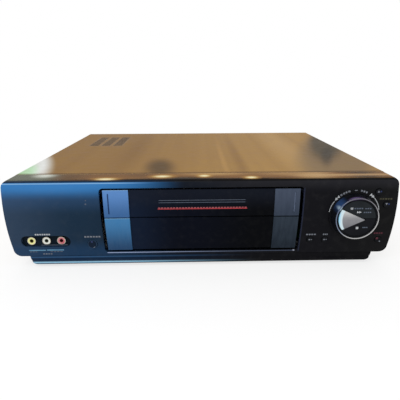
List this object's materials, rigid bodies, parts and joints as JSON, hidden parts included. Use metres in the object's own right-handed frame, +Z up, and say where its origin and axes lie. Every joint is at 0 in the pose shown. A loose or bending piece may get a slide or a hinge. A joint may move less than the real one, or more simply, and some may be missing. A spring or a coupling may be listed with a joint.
{
  "type": "video cassette recorder",
  "caption": "Front-loading video cassette recorder with a hinged cassette flap, display window, shuttle dial with play key, front sockets, and a full tape deck inside.",
  "frame": {"origin": "middle of the bounding box, on the floor under the feet", "axes": "+X to the right seen from the front, +Y to the rear, +Z up"},
  "size_m": [0.382, 0.308, 0.095],
  "materials": {
    "black_plastic": "semi-gloss moulded",
    "cover_paint": "baked gloss paint with a dark bronze tone",
    "steel_sheet": "zinc-plated sheet",
    "rubber": "matte",
    "screw_black": "black oxide",
    "smoked_panel": "smoked, polished",
    "gunmetal_plastic": "satin gunmetal",
    "button_black": "satin",
    "key_silver": "satin silver paint",
    "trim_silver": "polished",
    "board_green": "lacquered board",
    "board_brown": "phenolic board",
    "tube_glass": "evacuated display tube",
    "switch_body": "moulded",
    "nickel": "nickel plated",
    "yellow_insert": "moulded",
    "white_insert": "moulded",
    "red_insert": "moulded",
    "chip_black": "moulded",
    "can_blue": "sleeved can",
    "core_iron": "laminated",
    "sink_aluminium": "extruded",
    "inlet_black": "moulded",
    "case_tinned": "tinned",
    "bright_steel": "machined",
    "drum_aluminium": "diamond turned",
    "reel_plastic": "moulded",
    "brass_bearing": "turned",
    "ferrite": "polished ferrite"
  },
  "bodies": {
    "cabinet": {"audio_left_jack_insert": "white_insert", "audio_right_jack_insert": "red_insert", "bottom_pan": "steel_sheet", "capacitors": "can_blue", "capstan_housing": "brass_bearing", "carriage_frames": "steel_sheet", "control_board": "board_brown", "cover_screws": "screw_black", "deck_plate": "steel_sheet", "dial_core": "black_plastic", "display_board": "board_brown", "display_end_caps": "gunmetal_plastic", "display_window": "smoked_panel", "drive_belt": "rubber", "feet": "rubber", "front_panel": "black_plastic", "heat_sink": "sink_aluminium", "ic_packages": "chip_black", "jack_board": "board_brown", "jack_shells": "nickel", "lower_drum": "drum_aluminium", "main_board": "board_green", "mains_inlet": "inlet_black", "power_board": "board_brown", "power_transformer": "core_iron", "rear_jacks": "black_plastic", "rear_panel": "steel_sheet", "rf_sockets": "nickel", "stationary_heads": "bright_steel", "tact_switches": "switch_body", "top_cover": "cover_paint", "tuner_module": "case_tinned", "vfd_tube": "tube_glass", "video_jack_insert": "yellow_insert"},
    "flap": {"cassette_flap": "smoked_panel", "flap_end_caps": "gunmetal_plastic"},
    "operate_key": {"operate_button": "button_black"},
    "menu_key": {"menu_button": "button_black"},
    "set_key": {"set_button": "button_black"},
    "channel_up_key": {"channel_up_button": "button_black"},
    "channel_down_key": {"channel_down_button": "button_black"},
    "record_key": {"record_button": "button_black"},
    "play_key": {"play_button": "key_silver"},
    "pause_key": {"pause_button": "button_black"},
    "stop_key": {"stop_button": "button_black"},
    "shuttle": {"shuttle_ring": "button_black", "shuttle_trim": "trim_silver"},
    "drum": {"upper_drum": "drum_aluminium", "video_heads": "ferrite", "drum_rotor": "bright_steel"},
    "capstan": {"capstan_rotor": "bright_steel"},
    "clutch": {"clutch_pulley": "reel_plastic"},
    "supply_table": {"supply_reel": "reel_plastic"},
    "takeup_table": {"takeup_reel": "reel_plastic"},
    "pinch_lever": {"pinch_arm": "bright_steel"},
    "pinch_wheel": {"pinch_roller": "rubber"},
    "supply_guide": {"guide_post_supply": "bright_steel"},
    "takeup_guide": {"guide_post_takeup": "bright_steel"},
    "carriage": {"carriage_slider": "bright_steel"},
    "holder": {"cassette_holder": "bright_steel"}
  },
  "joints": [
    {"name": "flap_hinge", "type": "hinge", "parent": "cabinet", "child": "flap", "pos_m": [0, -0.1403, 0.0822], "axis": [1, 0, 0], "range_deg": [0, 80], "stiffness_Nm_per_rad": 0.01, "springref_deg": -11.46},
    {"name": "operate_press", "type": "slide", "parent": "cabinet", "child": "operate_key", "axis": [0, 1, 0], "range_m": [0, 0.0008], "stiffness_N_per_m": 300, "springref_m": -0.001},
    {"name": "menu_press", "type": "slide", "parent": "cabinet", "child": "menu_key", "axis": [0, 1, 0], "range_m": [0, 0.0008], "stiffness_N_per_m": 300, "springref_m": -0.001},
    {"name": "set_press", "type": "slide", "parent": "cabinet", "child": "set_key", "axis": [0, 1, 0], "range_m": [0, 0.0008], "stiffness_N_per_m": 300, "springref_m": -0.001},
    {"name": "channel_up_press", "type": "slide", "parent": "cabinet", "child": "channel_up_key", "axis": [0, 1, 0], "range_m": [0, 0.0008], "stiffness_N_per_m": 300, "springref_m": -0.001},
    {"name": "channel_down_press", "type": "slide", "parent": "cabinet", "child": "channel_down_key", "axis": [0, 1, 0], "range_m": [0, 0.0008], "stiffness_N_per_m": 300, "springref_m": -0.001},
    {"name": "record_press", "type": "slide", "parent": "cabinet", "child": "record_key", "axis": [0, 1, 0], "range_m": [0, 0.0008], "stiffness_N_per_m": 300, "springref_m": -0.001},
    {"name": "play_press", "type": "slide", "parent": "cabinet", "child": "play_key", "axis": [0, 1, 0], "range_m": [0, 0.0008], "stiffness_N_per_m": 300, "springref_m": -0.001},
    {"name": "pause_press", "type": "slide", "parent": "cabinet", "child": "pause_key", "axis": [0, 1, 0], "range_m": [0, 0.0008], "stiffness_N_per_m": 300, "springref_m": -0.001},
    {"name": "stop_press", "type": "slide", "parent": "cabinet", "child": "stop_key", "axis": [0, 1, 0], "range_m": [0, 0.0008], "stiffness_N_per_m": 300, "springref_m": -0.001},
    {"name": "shuttle_turn", "type": "hinge", "parent": "cabinet", "child": "shuttle", "pos_m": [0.1487, -0.1445, 0.0562], "axis": [0, 1, 0], "range_deg": [-40, 40], "stiffness_Nm_per_rad": 0.02},
    {"name": "carriage_travel", "type": "slide", "parent": "cabinet", "child": "carriage", "axis": [0, 1, 0], "range_m": [0, 0.045]},
    {"name": "holder_drop", "type": "slide", "parent": "carriage", "child": "holder", "axis": [0, 0, -1], "range_m": [0, 0.022]},
    {"name": "drum_spin", "type": "hinge", "parent": "cabinet", "child": "drum", "pos_m": [0, 0.0815, 0.034], "axis": [0.0993, 0, 0.9951], "continuous": true},
    {"name": "capstan_spin", "type": "hinge", "parent": "cabinet", "child": "capstan", "pos_m": [0.05, 0.0515, 0.028], "axis": [0, 0, 1], "continuous": true},
    {"name": "clutch_spin", "type": "hinge", "parent": "cabinet", "child": "clutch", "pos_m": [0, -0.0465, 0.028], "axis": [0, 0, 1], "continuous": true},
    {"name": "supply_spin", "type": "hinge", "parent": "cabinet", "child": "supply_table", "pos_m": [-0.046, -0.0225, 0.028], "axis": [0, 0, 1], "continuous": true},
    {"name": "takeup_spin", "type": "hinge", "parent": "cabinet", "child": "takeup_table", "pos_m": [0.046, -0.0225, 0.028], "axis": [0, 0, 1], "continuous": true},
    {"name": "pinch_swing", "type": "hinge", "parent": "cabinet", "child": "pinch_lever", "pos_m": [0.078, 0.0435, 0.033], "axis": [0, 0, 1], "range_deg": [-30, 0]},
    {"name": "pinch_spin", "type": "hinge", "parent": "pinch_lever", "child": "pinch_wheel", "pos_m": [0.05583, 0.02992, 0.0395], "axis": [0, 0, 1], "continuous": true},
    {"name": "takeup_guide_swing", "type": "hinge", "parent": "cabinet", "child": "takeup_guide", "pos_m": [0, 0.0815, 0.028], "axis": [0, 0, 1], "range_deg": [0, 75]},
    {"name": "supply_guide_swing", "type": "hinge", "parent": "cabinet", "child": "supply_guide", "pos_m": [0, 0.0815, 0.028], "axis": [0, 0, 1], "range_deg": [-75, 0]}
  ],
  "couplings": [
    {"joint": "clutch_spin", "follows": "capstan_spin", "ratio": 0.66667},
    {"joint": "supply_guide_swing", "follows": "takeup_guide_swing", "ratio": -1}
  ]
}
